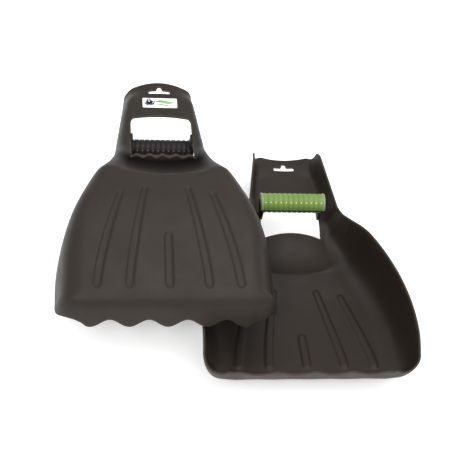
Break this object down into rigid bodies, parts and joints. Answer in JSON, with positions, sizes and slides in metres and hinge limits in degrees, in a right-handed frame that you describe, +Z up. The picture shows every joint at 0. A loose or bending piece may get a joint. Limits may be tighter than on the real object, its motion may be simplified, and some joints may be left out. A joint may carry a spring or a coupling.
{
  "type": "leaf grabber hands",
  "caption": "Pair of moulded leaf scoops worn on the hands, each with a toothed lip, flared side walls, domed finger pocket, wrist cuff with hang slot and a ribbed cross grip.",
  "frame": {"origin": "centre of the pair's bounding box, on the floor plane", "axes": "+Z up, +Y from the toothed lips towards the cuffs, +X from the left hand towards the right hand"},
  "size_m": [0.46, 0.4252, 0.147],
  "materials": {
    "shell": "fine satin moulded polypropylene",
    "grip_bar": "satin black moulded plastic",
    "grip_cover": "soft-touch green moulding",
    "label": "printed self-adhesive film"
  },
  "bodies": {
    "right_hand": {"right_shell": "shell", "right_grip_bar": "grip_bar", "right_grip_cover": "grip_cover"},
    "left_hand": {"left_shell": "shell", "left_grip_bar": "grip_bar", "left_grip_cover": "grip_cover", "left_label": "label"}
  },
  "joints": [
    {"name": "left_hand_lift", "type": "slide", "parent": "right_hand", "child": "left_hand", "axis": [0, 0, 1], "range_m": [0, 0.2]}
  ]
}
